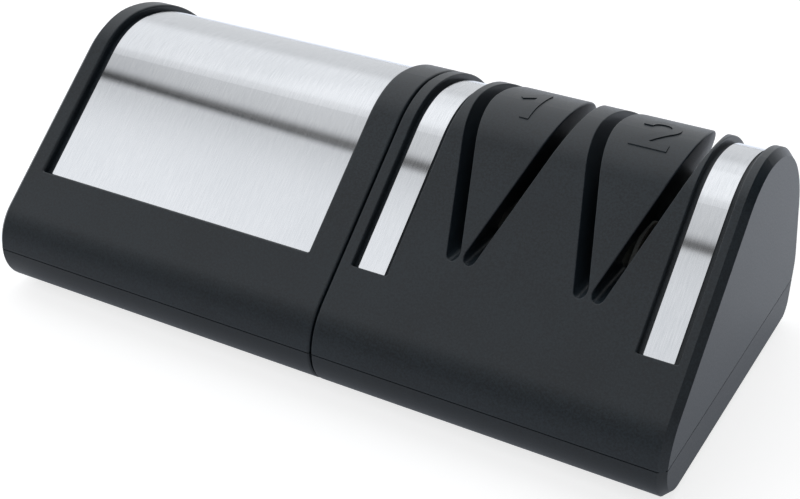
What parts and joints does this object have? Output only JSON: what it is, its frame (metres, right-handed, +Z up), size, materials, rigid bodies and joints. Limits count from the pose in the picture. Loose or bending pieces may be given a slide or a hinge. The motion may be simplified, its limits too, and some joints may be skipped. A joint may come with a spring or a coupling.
{
  "type": "electric knife sharpener",
  "caption": "Countertop electric knife sharpener: a motor unit, and a pull-off head whose angled knife slots open onto spring-loaded grinding wheels.",
  "frame": {"origin": "under the middle of the bounding box, on the surface that the rubber feet stand on", "axes": "+X along the length from the motor unit to the sharpening head, -Y towards the user, +Z up"},
  "size_m": [0.24, 0.1358, 0.0848],
  "materials": {
    "shell_plastic": "fine matt grain, charcoal",
    "tray_plastic": "fine matt grain, charcoal",
    "brushed_plate": "brushed around the profile",
    "foot_rubber": "matt",
    "zinc_screws": "zinc plated",
    "lamination_steel": "stacked sheets, oiled",
    "bobbin_nylon": "natural nylon",
    "copper_winding": "enamelled wire under tape",
    "bracket_zinc": "die cast",
    "sintered_bronze": "oil soaked, matt",
    "cradle_steel": "galvanised sheet",
    "shaft_steel": "ground",
    "spring_steel": "drawn wire",
    "fan_nylon": "black nylon",
    "block_nylon": "glass-filled nylon",
    "wheel_plastic": "moulded",
    "diamond_coating": "electroplated diamond grit",
    "switch_plastic": "semi-gloss"
  },
  "bodies": {
    "motor_unit": {"motor_upper_shell": "shell_plastic", "motor_base_tray": "tray_plastic", "steel_cover_plate": "brushed_plate", "motor_feet": "foot_rubber", "motor_base_screws": "zinc_screws", "stator_core": "lamination_steel", "coil_bobbin": "bobbin_nylon", "coil_winding": "copper_winding", "left_end_bracket": "bracket_zinc", "right_end_bracket": "bracket_zinc", "motor_bushes": "sintered_bronze", "bracket_bolts": "zinc_screws", "motor_cradle": "cradle_steel", "rubber_motor_mounts": "foot_rubber", "motor_mount_screws": "zinc_screws", "switch_housing": "switch_plastic", "cord_gland": "foot_rubber", "cord_clamp": "fan_nylon", "cord_clamp_screws": "zinc_screws"},
    "power_switch_rocker": {"power_rocker": "switch_plastic"},
    "rotor": {"rotor_core": "lamination_steel", "rotor_shaft": "shaft_steel", "cooling_fan": "fan_nylon", "motor_coupling": "fan_nylon"},
    "sharpening_head": {"head_upper_shell": "shell_plastic", "head_base_tray": "tray_plastic", "left_steel_strip": "brushed_plate", "right_steel_strip": "brushed_plate", "head_feet": "foot_rubber", "head_base_screws": "zinc_screws", "guide_pins": "shaft_steel", "left_bearing_block": "block_nylon", "right_bearing_block": "block_nylon", "bearing_block_screws": "zinc_screws", "spindle_bushes": "sintered_bronze"},
    "spindle": {"spindle_shaft": "shaft_steel", "spindle_coupling": "fan_nylon", "drive_pins": "shaft_steel", "retaining_rings": "shaft_steel", "stage_1_spring": "spring_steel", "stage_2_spring": "spring_steel"},
    "stage_1_left_grinding_wheel": {"stage_1_left_wheel": "wheel_plastic", "stage_1_left_abrasive": "diamond_coating"},
    "stage_1_right_grinding_wheel": {"stage_1_right_wheel": "wheel_plastic", "stage_1_right_abrasive": "diamond_coating"},
    "stage_2_left_grinding_wheel": {"stage_2_left_wheel": "wheel_plastic", "stage_2_left_abrasive": "diamond_coating"},
    "stage_2_right_grinding_wheel": {"stage_2_right_wheel": "wheel_plastic", "stage_2_right_abrasive": "diamond_coating"}
  },
  "joints": [
    {"name": "head_pull_off", "type": "slide", "parent": "motor_unit", "child": "sharpening_head", "axis": [1, 0, 0], "range_m": [0, 0.05]},
    {"name": "rotor_spin", "type": "hinge", "parent": "motor_unit", "child": "rotor", "pos_m": [-0.048, 0, 0.036], "axis": [1, 0, 0], "continuous": true},
    {"name": "spindle_spin", "type": "hinge", "parent": "sharpening_head", "child": "spindle", "pos_m": [0.0645, 0, 0.036], "axis": [1, 0, 0], "continuous": true},
    {"name": "switch_rock", "type": "hinge", "parent": "motor_unit", "child": "power_switch_rocker", "pos_m": [-0.098, 0.05805, 0.03886], "axis": [0, -0.3843, 0.9232], "range_deg": [0, 18]},
    {"name": "stage_1_left_wheel_press", "type": "slide", "parent": "spindle", "child": "stage_1_left_grinding_wheel", "axis": [1, 0, 0], "range_m": [0, 0.001], "stiffness_N_per_m": 400, "springref_m": -0.003, "deforming": ["stage_1_spring"]},
    {"name": "stage_1_right_wheel_press", "type": "slide", "parent": "spindle", "child": "stage_1_right_grinding_wheel", "axis": [-1, 0, 0], "range_m": [0, 0.001], "stiffness_N_per_m": 400, "springref_m": -0.003, "deforming": ["stage_1_spring"]},
    {"name": "stage_2_left_wheel_press", "type": "slide", "parent": "spindle", "child": "stage_2_left_grinding_wheel", "axis": [1, 0, 0], "range_m": [0, 0.001], "stiffness_N_per_m": 400, "springref_m": -0.003, "deforming": ["stage_2_spring"]},
    {"name": "stage_2_right_wheel_press", "type": "slide", "parent": "spindle", "child": "stage_2_right_grinding_wheel", "axis": [-1, 0, 0], "range_m": [0, 0.001], "stiffness_N_per_m": 400, "springref_m": -0.003, "deforming": ["stage_2_spring"]}
  ],
  "couplings": [
    {"joint": "spindle_spin", "follows": "rotor_spin", "ratio": 1}
  ]
}
